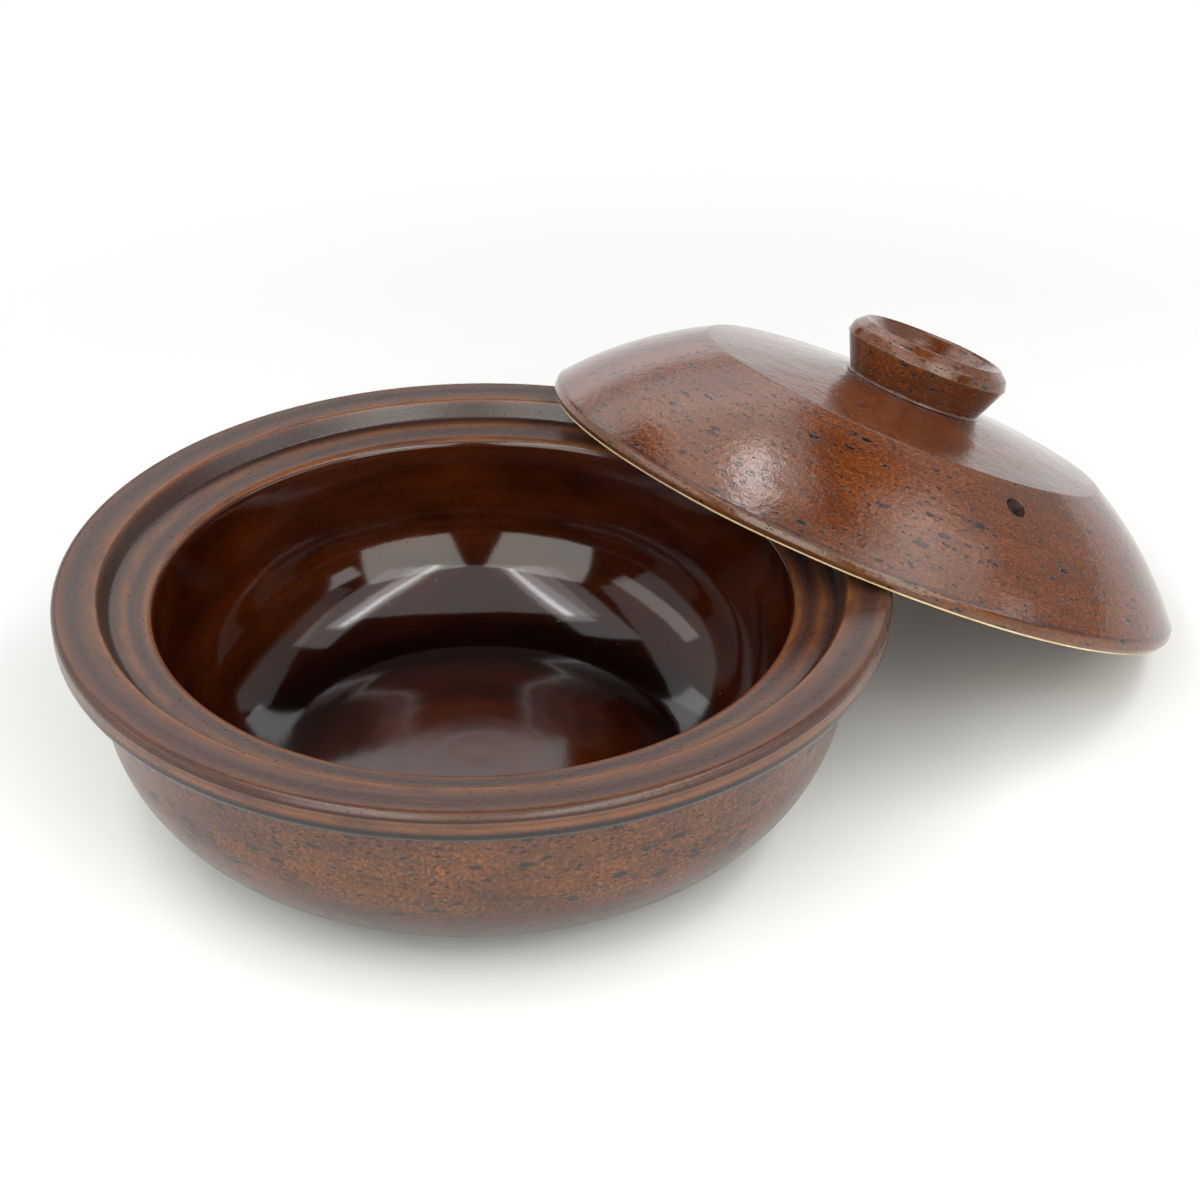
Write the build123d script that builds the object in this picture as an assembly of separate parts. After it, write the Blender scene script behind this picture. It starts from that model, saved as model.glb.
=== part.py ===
from build123d import *
import os
from math import cos, hypot, pi, radians, sin, sqrt, tan

# Donabe, a Japanese clay cooking pot: a thrown pot, a thrown lid, and a knob luted onto the lid.
# The pot stands on its foot ring, whose centre is the origin, and its axis is +Z.
# The lid is off: it leans out towards +X, with its ring on the pot's rim and on the table.
# Profiles are corners given as radius and height, each with the radius that rounds it.

# Lid, measured from the plane of its ring
lid_radius = 126.0
lid_bead_height = 2.5
lid_bead_round = 2.0
lid_ring_bevel = 1.5
lid_ring_width = 5.6
lid_ring_round = 0.8
lid_edge_step = 0.5
lid_edge_height = 5.4
lid_shoulder_radius = 79.5
lid_shoulder_height = 42.5
lid_shoulder_round = 2.0
lid_flank_bulge = 2.65
lid_flank_round_share = 0.9
lid_pad_radius = 28.4
lid_pad_height = 49.2
lid_wall = 7.0
lid_inside_round = 16.0

# Steam hole, square to the lid's flank, turned from the side of the lid that lies lowest
steam_hole_diameter = 8.0
steam_hole_radius = 90.2
steam_hole_turn = -104.7

# Knob, measured from the pad that it is luted onto, a little off the lid's axis
knob_base_radius = 26.1
knob_base_flare = 0.7
knob_base_height = 0.9
knob_edge_radius = 31.9
knob_edge_height = 13.7
knob_edge_round = 0.9
knob_band_radius = 30.8
knob_band_height = 17.5
knob_band_round = 2.4
knob_crest_radius = 27.0
knob_crest_round = 1.6
knob_height = 20.6
knob_lip_width = 2.6
knob_lip_fall = 0.9
knob_lip_round = 1.2
knob_cup_radius = 15.5
knob_cup_depth = 9.6
knob_cup_rise = 1.2
knob_cup_round = 14.0
knob_off_axis_along = 0.9
knob_off_axis_across = -0.65

# Lid's seat in the pot's rim
seat_clearance = 1.1
seat_depth = 6.2
seat_width = 15.0
seat_fall = 1.6
seat_round = 2.0
gallery_flare = 3.7
lip_round = 1.2
mouth_round = 3.5

# Pot's rim and flange
pot_height = 91.0
rim_width = 15.7
rim_round = 3.0
flange_height = 10.5
flange_tuck = 0.5
flange_round = 3.0
neck_inset = 11.8
neck_drop = 4.0
neck_round = 5.0

# Pot's body, bowl and foot ring
body_taper = 6.8
belly_height = 25.7
belly_round = 50.0
bowl_taper = 7.2
bowl_floor_height = 14.0
bowl_floor_rise = 1.5
bowl_floor_round = 48.0
foot_radius = 80.0
foot_flare = 1.0
foot_height = 1.5
foot_width = 9.0
foot_recess = 2.0
foot_round = 0.8

# Lid's lean against the rim
lean_angle = 27.0
rest_gap = 0.3
lean_steps = 3600
lean_halvings = 40

# Cuts run past what they cut by this much
overrun = 5.0

# Sizes that follow from the ones above
lid_ring_radius = lid_radius - lid_ring_bevel
lid_ring_inner_radius = lid_ring_radius - lid_ring_width
lid_flank_edge = Vector(lid_radius - lid_edge_step, lid_edge_height)
lid_shoulder = Vector(lid_shoulder_radius, lid_shoulder_height)
seat_radius = lid_ring_radius + seat_clearance
lip_radius = seat_radius + gallery_flare
mouth_radius = seat_radius - seat_width
bowl_floor_radius = mouth_radius - bowl_taper
rim_radius = lip_radius + rim_width
flange_radius = rim_radius - flange_tuck
neck_radius = rim_radius - neck_inset
belly_radius = neck_radius - body_taper


def rounding_centre(before, corner, after, radius):
    """The point that lies as far as the radius from both straight sides of a corner."""
    back = (Vector(*before) - Vector(*corner)).normalized()
    ahead = (Vector(*after) - Vector(*corner)).normalized()
    half_angle = radians(back.get_angle(ahead)) / 2
    return Vector(*corner) + (back + ahead).normalized() * (radius / sin(half_angle))


def turned(corners):
    """A solid of revolution about Z from (radius, height, rounding radius) corners."""
    points = [(radius, 0, height) for radius, height, _ in corners]
    roundings = [rounding for _, _, rounding in corners]
    outline = FilletPolyline(*points, radius=roundings, close=True)
    return revolve(make_face(outline), Axis.Z)


def make_pot():
    """Bowl, flange, seat and foot ring, thrown from one piece of clay."""
    return turned(
        [
            (0, foot_recess, 0),
            (foot_radius - foot_width - foot_recess, foot_recess, foot_round),
            (foot_radius - foot_width, 0, foot_round),
            (foot_radius, 0, foot_round),
            (foot_radius + foot_flare, foot_height, foot_round),
            (belly_radius, belly_height, belly_round),
            (neck_radius, pot_height - flange_height - neck_drop, neck_round),
            (flange_radius, pot_height - flange_height, flange_round),
            (rim_radius, pot_height, rim_round),
            (lip_radius, pot_height, lip_round),
            (seat_radius, pot_height - seat_depth, seat_round),
            (mouth_radius, pot_height - seat_depth - seat_fall, mouth_round),
            (bowl_floor_radius, bowl_floor_height + bowl_floor_rise, bowl_floor_round),
            (0, bowl_floor_height, 0),
        ]
    )


def flank_middle():
    """The corner halfway up the flank, whose wide rounding makes the flank's bulge."""
    chord = lid_shoulder - lid_flank_edge
    outward = Vector(chord.Y, -chord.X).normalized()
    return lid_flank_edge + chord / 2 + outward * (2 * lid_flank_bulge)


def flank_round():
    """The radius of the flank's arc, which takes up nearly the whole of its two sides."""
    below = flank_middle() - lid_flank_edge
    above = lid_shoulder - flank_middle()
    return lid_flank_round_share * below.length / tan(radians(below.get_angle(above)) / 2)


def make_steam_hole():
    """The round cutter for the steam hole, on the flank's own normal."""
    centre = rounding_centre(lid_flank_edge, flank_middle(), lid_shoulder, flank_round())
    rise = sqrt(flank_round() ** 2 - (steam_hole_radius - centre.X) ** 2)
    place = Vector(steam_hole_radius, 0, centre.Y + rise)
    normal = place - Vector(centre.X, 0, centre.Y)
    length = 2 * (lid_wall + overrun)
    cutter = Plane(place, z_dir=normal) * Cylinder(steam_hole_diameter / 2, length)
    return cutter.rotate(Axis.Z, steam_hole_turn)


def make_lid():
    """Domed lid with a bead round its edge, a bare ring below it and a flat pad for the knob."""
    middle = flank_middle()
    pad_edge = Vector(lid_pad_radius, lid_pad_height)
    inner_middle = rounding_centre(lid_flank_edge, middle, lid_shoulder, lid_wall)
    inner_shoulder = rounding_centre(middle, lid_shoulder, pad_edge, lid_wall)
    below = lid_flank_edge - middle
    inner_edge = inner_middle + below * ((lid_ring_inner_radius - inner_middle.X) / below.X)
    solid = turned(
        [
            (lid_ring_inner_radius, 0, lid_ring_round),
            (lid_ring_radius, 0, lid_ring_round),
            (lid_radius, lid_bead_height, lid_bead_round),
            (lid_flank_edge.X, lid_flank_edge.Y, 0),
            (middle.X, middle.Y, flank_round()),
            (lid_shoulder.X, lid_shoulder.Y, lid_shoulder_round),
            (lid_pad_radius, lid_pad_height, 0),
            (0, lid_pad_height, 0),
            (0, lid_pad_height - lid_wall, 0),
            (lid_pad_radius, lid_pad_height - lid_wall, 0),
            (inner_shoulder.X, inner_shoulder.Y, lid_inside_round),
            (inner_middle.X, inner_middle.Y, flank_round() - lid_wall),
            (inner_edge.X, inner_edge.Y, lid_ring_round),
        ]
    )
    return solid - make_steam_hole()


def make_knob():
    """Inverted cone with a rolled band and a dished top, which also serves as the lid's foot."""
    lip_inner_radius = knob_crest_radius - knob_lip_width
    cup_height = knob_height - knob_cup_depth
    solid = turned(
        [
            (0, 0, 0),
            (knob_base_radius + knob_base_flare, 0, 0),
            (knob_base_radius, knob_base_height, knob_base_flare),
            (knob_edge_radius, knob_edge_height, knob_edge_round),
            (knob_band_radius, knob_band_height, knob_band_round),
            (knob_crest_radius, knob_height, knob_crest_round),
            (lip_inner_radius, knob_height - knob_lip_fall, knob_lip_round),
            (knob_cup_radius, cup_height + knob_cup_rise, knob_cup_round),
            (0, cup_height, 0),
        ]
    )
    return Pos(knob_off_axis_along, knob_off_axis_across, lid_pad_height) * solid


def lean_lift():
    """Height of the ring's centre, with the ring's outer corner just clear of the table."""
    lean = radians(lean_angle)
    corner = rounding_centre(
        (lid_ring_inner_radius, 0), (lid_ring_radius, 0), (lid_radius, lid_bead_height), lid_ring_round
    )
    return rest_gap + lid_ring_round + corner.X * sin(lean) - corner.Y * cos(lean)


def rim_gap(reach):
    """Least distance from the rounded outer edge of the rim to the ring's rounded inner corner."""
    lean = radians(lean_angle)
    lift = lean_lift()
    flange = (flange_radius, pot_height - flange_height)
    rim = rounding_centre(flange, (rim_radius, pot_height), (lip_radius, pot_height), rim_round)
    corner_radius = lid_ring_inner_radius + lid_ring_round
    gaps = []
    for step in range(lean_steps):
        turn = pi * step / lean_steps
        out = corner_radius * cos(turn)
        x = reach + out * cos(lean) + lid_ring_round * sin(lean)
        y = corner_radius * sin(turn)
        z = lift - out * sin(lean) + lid_ring_round * cos(lean)
        gaps.append(hypot(max(hypot(x, y) - rim.X, 0), z - rim.Y) - rim_round - lid_ring_round)
    return min(gaps)


def lean_reach():
    """Distance of the ring's centre from the pot's axis, with the ring just clear of the rim."""
    near = rim_radius - lid_ring_inner_radius
    far = rim_radius + lid_radius
    for _ in range(lean_halvings):
        middle = (near + far) / 2
        if rim_gap(middle) < rest_gap:
            near = middle
        else:
            far = middle
    return far


def main():
    os.makedirs("parts", exist_ok=True)
    reach = lean_reach()
    lift = lean_lift()
    print(f"ring centre {reach:.2f} mm out and {lift:.2f} mm up, {rim_gap(reach):.3f} mm from the rim")
    leaning = Location((reach, 0, lift), (0, lean_angle, 0))
    export_step(make_pot(), "parts/pot.step")
    export_step(leaning * make_lid(), "parts/lid.step")
    export_step(leaning * make_knob(), "parts/knob.step")


main()
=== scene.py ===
"""A donabe in iron glaze: the thrown pot, and its lid with a luted knob that leans on the rim."""
import math
from types import SimpleNamespace

import bpy
import numpy as np
from mathutils import Matrix, Vector, noise


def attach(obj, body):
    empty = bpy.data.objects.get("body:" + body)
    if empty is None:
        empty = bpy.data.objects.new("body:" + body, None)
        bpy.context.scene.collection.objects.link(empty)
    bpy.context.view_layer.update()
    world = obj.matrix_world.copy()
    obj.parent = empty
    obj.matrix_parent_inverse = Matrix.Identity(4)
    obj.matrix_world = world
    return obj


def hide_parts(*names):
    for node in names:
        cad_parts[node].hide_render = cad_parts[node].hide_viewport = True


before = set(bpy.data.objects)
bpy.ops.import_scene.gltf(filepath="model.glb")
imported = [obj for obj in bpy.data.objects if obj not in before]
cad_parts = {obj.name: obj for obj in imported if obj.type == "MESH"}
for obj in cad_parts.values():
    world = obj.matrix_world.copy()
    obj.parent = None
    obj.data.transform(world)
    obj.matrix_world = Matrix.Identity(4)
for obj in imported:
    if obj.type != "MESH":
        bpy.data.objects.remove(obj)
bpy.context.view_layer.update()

bl_info = {
    "name": "Donabe Maker",
    "version": (1, 0, 0),
    "blender": (4, 5, 0),
    "location": "3D View > Sidebar > Donabe",
    "description": "Throws and glazes a donabe with its lid off, and sets it in a plain studio",
    "category": "Add Mesh",
}

MM = 0.001

# Points round each turned piece, and the step along its outline for each finish in mm
POT_TURNS = 288
LID_TURNS = 300
KNOB_TURNS = 256
POT_STEPS = {"outside": 1.8, "rim": 0.5, "bowl": 1.8, "bare": 3.0}
LID_STEPS = {"glazed": 1.0, "bare": 1.0}
KNOB_STEPS = {"glazed": 0.5}

# Fewest points on a rounded corner, and the widest step round one in degrees
ARC_POINTS = 4
ARC_DEGREES = 9

# Radius left open at the axis in mm, too small to see
AXIS_GAP = 0.01

# How far noise is spread before it is cut off at both ends
MARK_CONTRAST = 1.8
WOBBLE_CONTRAST = 1.6

# Length of outline in mm over which a bend thins the glaze, or lets it pool if it is hollow
BEND_WIDTH = 1.2

# Height in mm on the inside of the lid's ring where its outline starts
RING_START = 1.2

# Share of the bevel and of the bead's height that is wiped bare
BARE_SHARE = 0.34

# Share of the flank's two sides that its arc takes up
FLANK_SHARE = 0.9

# Steps from the steam hole's middle to its edge, and to where the grid is undisturbed again
HOLE_EDGE = 4
HOLE_REACH = 9

# Depth and extra radius of the rows that round the steam hole's lip, as shares of the lip
LIP_ROWS = ((0.3, 0.3), (1.0, 0.0))

# Colours of the glaze on the lid and the knob, and of the glaze on the pot's outside
LID_COATS = ("lid_body", "lid_warm", "lid_deep", "lid_break")
POT_COATS = ("pot_body", "pot_warm", "pot_deep", "pot_warm")

# Collections of what a lamp is kept to
LID_LIGHT = "lid_light"
POT_LIGHT = "pot_light"

# Tints of the lamps that aren't white
PANEL_TINTS = {"lid_light": (1, 0.98, 0.97), "front_left": (0.98, 1, 0.91), "front_right": (0.98, 1, 0.91)}

# Place in metres that the panels stand round, and that those which aren't overhead face
PANEL_MIDDLE = (0.05, 0.0, 0.06)

# Turns in degrees that spread the two strips apart towards the back
LEFT_STRIP_TURN = 7.6
RIGHT_STRIP_TURN = -10.4

# Camera's sensor in mm and nearest distance in metres
SENSOR_WIDTH = 36.0
CLIP_START = 0.05

# Ground as (radius, height) rings in metres: its far edge turns up, so that low views still see white
GROUND_RINGS = ((0.0, 0.0), (0.8, 0.0), (2.0, 0.0), (7.0, 0.0), (8.0, 0.05), (8.6, 0.3), (8.8, 0.9))
GROUND_SIDES = 96

# Middle of the shadowed ground, and where the ground starts and ends to fade to white, in metres
FADE_MIDDLE = (0.09, -0.03, 0)
FADE_START = 0.34
FADE_END = 0.56

# White paper, the overexposed ground beyond it, and the dim room
PAPER = "#f0f0f0"
FAR_GROUND = "#ffffff"
ROOM = "#1c1c1c"


def length(name, millimetres, description):
    """A size property whose default is given in millimetres."""
    return bpy.props.FloatProperty(
        name=name, description=description, default=millimetres * MM, unit="LENGTH", precision=5
    )


def angle(name, degrees, description):
    """An angle property whose default is given in degrees."""
    return bpy.props.FloatProperty(
        name=name, description=description, default=math.radians(degrees), subtype="ANGLE"
    )


def brightness(name, default, description):
    """A lamp's brightness, as the radiance of its panel."""
    return bpy.props.FloatProperty(name=name, description=description, default=default, min=0)


def linear(hex_value):
    """An sRGB hex colour as linear red, green, blue and alpha."""
    channels = [int(hex_value[place : place + 2], 16) / 255 for place in (1, 3, 5)]
    return [c / 12.92 if c <= 0.04045 else ((c + 0.055) / 1.055) ** 2.4 for c in channels] + [1.0]


def colour(name, hex_value, description):
    """A colour property whose default is given as an sRGB hex value."""
    return bpy.props.FloatVectorProperty(
        name=name, description=description, default=linear(hex_value), size=4, subtype="COLOR", min=0, max=1
    )


class DonabePotSizes(bpy.types.PropertyGroup):
    """Sizes of the pot, which stands on the origin."""

    height: length("Height", 91.0, "From the table to the top of the rim")
    rim_radius: length("Rim radius", 145.0, "Outside of the flange")
    rim_round: length("Rim rounding", 3.0, "Rounding of the rim's outer crest")
    flange_height: length("Flange height", 10.5, "Height of the flange's outer face")
    flange_tuck: length("Flange tuck", 0.5, "How far the flange's lower edge is drawn in")
    flange_round: length("Flange rounding", 3.0, "Rounding of the flange's lower edge")
    neck_radius: length("Neck radius", 133.2, "Where the flange grows out of the body")
    neck_drop: length("Neck drop", 4.0, "How far the neck lies below the flange's edge")
    neck_round: length("Neck rounding", 5.0, "Hollow rounding under the flange")
    belly_radius: length("Belly radius", 126.4, "Corner between the wall and the base")
    belly_height: length("Belly height", 25.7, "Height of that corner")
    belly_round: length("Belly rounding", 50.0, "Rounding of that corner")
    foot_radius: length("Foot radius", 80.0, "Outside of the foot ring")
    foot_flare: length("Foot flare", 1.0, "How far the base stands out above the foot ring")
    foot_height: length("Foot height", 1.5, "Height of the foot ring outside")
    foot_width: length("Foot width", 9.0, "Width of the bare foot ring")
    foot_recess: length("Foot recess", 2.0, "Depth of the base inside the foot ring")
    foot_round: length("Foot rounding", 0.8, "Rounding of the foot ring's edges")
    lip_radius: length("Lip radius", 129.3, "Inner crest of the rim")
    lip_round: length("Lip rounding", 1.2, "Rounding of the inner crest")
    seat_radius: length("Seat radius", 125.6, "Outside of the ledge that the lid sits on")
    seat_depth: length("Seat depth", 6.2, "Depth of the ledge below the rim")
    seat_fall: length("Seat fall", 1.6, "How far the ledge falls towards the bowl")
    seat_round: length("Seat rounding", 2.0, "Channel at the back of the ledge")
    mouth_radius: length("Mouth radius", 110.6, "Mouth of the bowl")
    mouth_round: length("Mouth rounding", 3.5, "Rounding of the mouth's crest")
    floor_radius: length("Bowl corner radius", 103.4, "Corner between the bowl's wall and floor")
    floor_height: length("Bowl floor height", 14.0, "Floor of the bowl above the table")
    floor_rise: length("Bowl floor rise", 1.5, "How far the floor rises to the wall's corner")
    floor_round: length("Bowl floor rounding", 48.0, "Rounding between floor and wall")


class DonabeLidSizes(bpy.types.PropertyGroup):
    """Sizes of the lid, measured from the plane of its ring, and how it leans."""

    radius: length("Radius", 126.0, "Outside of the bead")
    bead_height: length("Bead height", 2.5, "Middle of the bead")
    bead_round: length("Bead rounding", 2.0, "Rounding of the bead")
    ring_bevel: length("Ring bevel", 1.5, "How far the bare ring is set in under the bead")
    ring_width: length("Ring width", 5.6, "Width of the bare ring")
    ring_round: length("Ring rounding", 0.8, "Rounding of the ring's edges")
    edge_step: length("Edge step", 0.5, "How far the flank starts inside the bead")
    edge_height: length("Edge height", 5.4, "Where the flank starts")
    shoulder_radius: length("Shoulder radius", 79.5, "Crease between flank and top")
    shoulder_height: length("Shoulder height", 42.5, "Height of that crease")
    shoulder_round: length("Shoulder rounding", 2.0, "Rounding of that crease")
    flank_bulge: length("Flank bulge", 2.65, "Bulge of the flank over its chord")
    pad_radius: length("Pad radius", 28.4, "Flat pad under the knob")
    pad_height: length("Pad height", 49.2, "Height of that pad")
    wall: length("Wall", 7.0, "Thickness of the lid")
    inside_round: length("Inside rounding", 16.0, "Rounding inside the shoulder")
    hole_diameter: length("Steam hole diameter", 8.0, "Hole through the flank")
    hole_radius: length("Steam hole radius", 90.2, "Distance of the hole from the lid's axis")
    hole_lip: length("Steam hole lip", 0.4, "Rounding of the hole's edges")
    hole_turn: angle("Steam hole turn", -104.7, "Turn of the hole from the lowest side of the lid")
    lean: angle("Lean", 27.0, "Tilt of the lid on the rim")
    reach: length("Reach", 176.53, "Middle of the ring from the pot's axis")
    lift: length("Lift", 56.70, "Middle of the ring above the table")


class DonabeKnobSizes(bpy.types.PropertyGroup):
    """Sizes of the knob, measured from the pad that it is luted onto."""

    base_radius: length("Base radius", 26.1, "Where the knob meets the lid")
    base_flare: length("Base flare", 0.7, "Slip and glaze pooled round the joint")
    base_height: length("Base height", 0.9, "Height of that pooled line")
    edge_radius: length("Edge radius", 31.9, "Lower edge of the band")
    edge_height: length("Edge height", 13.7, "Height of that edge")
    edge_round: length("Edge rounding", 0.9, "Rounding of that edge")
    band_radius: length("Band radius", 30.8, "Upper edge of the band")
    band_height: length("Band height", 17.5, "Height of that edge")
    band_round: length("Band rounding", 2.4, "Rounding of that edge")
    crest_radius: length("Crest radius", 27.0, "Highest ring of the knob")
    crest_round: length("Crest rounding", 1.6, "Rounding of that ring")
    height: length("Height", 20.6, "Height of the knob")
    lip_width: length("Lip width", 2.6, "Width of the ring's top")
    lip_fall: length("Lip fall", 0.9, "How far that top falls inwards")
    lip_round: length("Lip rounding", 1.2, "Rounding of the cup's edge")
    cup_radius: length("Cup radius", 15.5, "Floor of the cup")
    cup_depth: length("Cup depth", 9.6, "Depth of the cup")
    cup_rise: length("Cup rise", 1.2, "How far the cup's floor rises to its corner")
    cup_round: length("Cup rounding", 14.0, "Rounding of the cup")
    off_along: length("Off axis along the lean", 0.9, "How far the knob is off the lid's axis that way")
    off_across: length("Off axis across the lean", -0.65, "How far the knob is off the lid's axis sideways")


class DonabeGlaze(bpy.types.PropertyGroup):
    """Colours of the iron glazes and of the bare clay."""

    lid_body: colour("Lid glaze", "#5f3117", "Full coat of glaze on the lid and the knob")
    lid_warm: colour("Lid warm mottle", "#7d431b", "Where that glaze is a little thinner")
    lid_deep: colour("Lid deep mottle", "#3a1d14", "Where that glaze is thicker")
    lid_break: colour("Lid break", "#664527", "Where that glaze runs thin over an edge")
    pot_body: colour("Pot glaze", "#5a2e11", "Full coat of glaze on the pot's outside")
    pot_warm: colour("Pot warm mottle", "#824814", "Where that glaze is thinner")
    # pot_deep also paints the shade on the pot's lower body and on the flange's lower edge
    pot_deep: colour("Pot deep mottle", "#21110b", "Where that glaze is thicker")
    rim_body: colour("Rim glaze", "#3d2721", "Satin glaze on rim and seat")
    rim_break: colour("Rim break", "#7a4824", "Where the satin glaze runs thin over a crest")
    # rim_deep also paints the shade on the flange's lower edge
    rim_deep: colour("Rim pooled glaze", "#120806", "Where the satin glaze pools in a corner")
    bowl_body: colour("Bowl glaze", "#260b03", "Clear amber glaze poured into the bowl")
    bowl_warm: colour("Bowl warm glaze", "#401705", "Where the amber glaze is thinner")
    bowl_thin: colour("Bowl thin glaze", "#4c1d05", "Where the amber glaze runs thin over floor and crest")
    bowl_deep: colour("Bowl pooled glaze", "#030101", "Where the amber glaze pools")
    iron: colour("Iron specks", "#141215", "Iron spots that come up through the glaze")
    clay: colour("Bare clay", "#ead2a4", "Fired clay that was wiped before firing")
    sand: colour("Sand in the clay", "#a5825a", "Coarser grains in the clay")


class DonabeStudio(bpy.types.PropertyGroup):
    """Camera and lights."""

    focal_length: bpy.props.FloatProperty(
        name="Focal length", description="Lens of the camera in mm", default=90.0, subtype="DISTANCE_CAMERA"
    )
    camera_place: bpy.props.FloatVectorProperty(
        name="Camera place",
        description="Where the camera stands",
        default=(-0.48808, -0.74587, 0.62305),
        subtype="TRANSLATION",
    )
    camera_aim: bpy.props.FloatVectorProperty(
        name="Camera aim",
        description="Direction that the camera looks in",
        default=(0.50198, 0.69044, -0.52087),
        subtype="DIRECTION",
    )
    ceiling: brightness("Ceiling light", 1.3, "Wide soft panel overhead")
    strips: brightness("Strip lights", 11.0, "Long strips overhead, and the panels dimmed from them")
    windows: brightness("Front panels", 3.6, "The two panels behind the camera")
    sides: brightness("Side panels", 0.9, "The panels on both sides")
    back: brightness("Back panel", 1.6, "The panel behind the pot")


# Shapes


def unit(vector):
    """The vector drawn out or in to a length of 1."""
    return vector / np.linalg.norm(vector)


def corner_centre(before, corner, after, distance):
    """The point that lies that far from both straight sides of a corner."""
    before, corner, after = (np.array(point, float) for point in (before, corner, after))
    back = unit(before - corner)
    ahead = unit(after - corner)
    half_angle = math.acos(np.clip(back @ ahead, -1, 1)) / 2
    return corner + unit(back + ahead) * distance / math.sin(half_angle)


class Outline:
    """Points along a profile of (radius, height, rounding, finish) corners, with a step for each finish."""

    def __init__(self, corners, steps):
        self.points = []
        self.bends = []
        self.finishes = []
        self.steps = steps
        places = [np.array(corner[:2], float) for corner in corners]
        start = places[0]
        for index in range(1, len(corners)):
            finish = corners[index - 1][3]
            rounding = corners[index][2] if index < len(corners) - 1 else 0
            if rounding == 0:
                self.run(start, places[index], finish)
                start = places[index]
                continue
            start = self.arc(start, places[index - 1 : index + 2], rounding, finish, corners[index][3])
        self.add(start, 0, corners[-1][3])
        self.points = np.array(self.points)
        steps = np.linalg.norm(np.diff(self.points, axis=0), axis=1)
        self.along = np.concatenate([[0], np.cumsum(steps)])
        self.bends = np.array(self.bends)

    def add(self, point, bend, finish):
        """A point, how sharply the outline bends there, and the finish that starts there."""
        self.points.append(point)
        self.bends.append(bend)
        self.finishes.append(finish)

    def run(self, start, end, finish):
        """A straight run, without its last point."""
        count = max(1, round(np.linalg.norm(end - start) / self.steps[finish]))
        for part in range(count):
            self.add(start + (end - start) * part / count, 0, finish)

    def arc(self, start, three, rounding, finish, next_finish):
        """The run up to a rounded corner and the corner's arc. Gives the arc's last point."""
        before, corner, after = three
        centre = corner_centre(before, corner, after, rounding)
        back = unit(before - corner)
        ahead = unit(after - corner)
        first = corner + back * ((centre - corner) @ back)
        last = corner + ahead * ((centre - corner) @ ahead)
        self.run(start, first, finish)
        start_angle = math.atan2(*(first - centre)[::-1])
        turn = math.remainder(math.atan2(*(last - centre)[::-1]) - start_angle, 2 * math.pi)
        wide = round(abs(turn) * rounding / self.steps[finish])
        count = max(ARC_POINTS, wide, round(abs(turn) / math.radians(ARC_DEGREES)))
        for part in range(count):
            angle = start_angle + turn * part / count
            point = centre + rounding * np.array([math.cos(angle), math.sin(angle)])
            self.add(point, math.copysign(1 / rounding, turn), finish if part < count / 2 else next_finish)
        return last

    def spread_bends(self, width):
        """How sharply the profile bends outwards at each point, averaged over a width."""
        gaps = np.gradient(self.along)
        weights = np.exp(-(((self.along[:, None] - self.along[None, :]) / width) ** 2)) * gaps
        return (weights * self.bends).sum(1) / (width * math.sqrt(math.pi))

    def nearest(self, spot):
        """The distance along the profile of the point nearest to a spot."""
        steps = np.diff(self.points, axis=0)
        lengths = np.linalg.norm(steps, axis=1)
        shares = ((np.array(spot) - self.points[:-1]) * steps).sum(1) / lengths**2
        shares = np.clip(shares, 0, 1)
        gaps = np.linalg.norm(self.points[:-1] + steps * shares[:, None] - np.array(spot), axis=1)
        best = int(np.argmin(gaps))
        return self.along[best] + shares[best] * lengths[best]

    def normals(self):
        """The outward direction of the profile at each point."""
        tangents = np.gradient(self.points, self.along, axis=0)
        outward = np.stack([tangents[:, 1], -tangents[:, 0]], axis=1)
        return outward / np.linalg.norm(outward, axis=1)[:, None]


def throwing_marks(along, pitch, depth, seed):
    """Depth of the potter's finger marks along a profile, never above the surface."""
    marks = [noise.noise(Vector((place / pitch, seed, 0))) for place in along]
    return -depth * (0.5 + 0.5 * np.clip(np.array(marks) * MARK_CONTRAST, -1, 1))


def wheel_wobble(along, turns, reach, size, depth, seed):
    """Unevenness of a hand-thrown wall of that size, over the profile and round a wheel of that reach."""
    field = np.empty((len(along), len(turns)))
    for column, turn in enumerate(turns):
        ring = (math.cos(turn) * reach / size, math.sin(turn) * reach / size)
        for row, place in enumerate(along):
            field[row, column] = noise.noise(Vector((ring[0], ring[1], place / size + seed)))
    return -depth * (0.5 + 0.5 * np.clip(field * WOBBLE_CONTRAST, -1, 1))


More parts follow.
